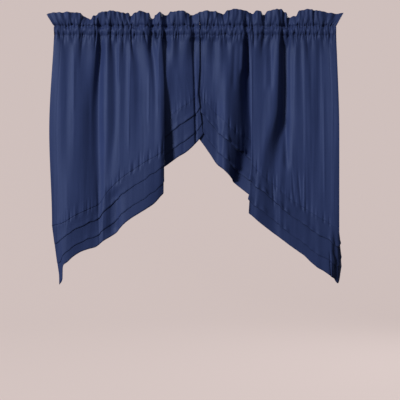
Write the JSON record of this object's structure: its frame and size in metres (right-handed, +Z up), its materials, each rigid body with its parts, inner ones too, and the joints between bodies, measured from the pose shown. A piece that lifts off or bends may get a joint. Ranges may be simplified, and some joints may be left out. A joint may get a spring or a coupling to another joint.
{
  "type": "rod pocket swag curtain pair",
  "caption": "Swag curtain pair with a ruffled rod pocket heading, soft uneven folds and slanting lower edges finished by a tucked border.",
  "frame": {"origin": "on the rod line through both rod pockets, where the two swags meet", "axes": "+X along the rod to the right as seen from the room, +Y from the room toward the window behind, +Z up; the front of the cloth faces -Y"},
  "size_m": [0.9877, 0.0794, 0.921],
  "materials": {
    "cloth": "navy woven cloth with a soft sheen"
  },
  "bodies": {
    "root": {"heading_left": "cloth", "panel_left": "cloth", "border_left": "cloth", "heading_right": "cloth", "panel_right": "cloth", "border_right": "cloth"}
  },
  "joints": []
}
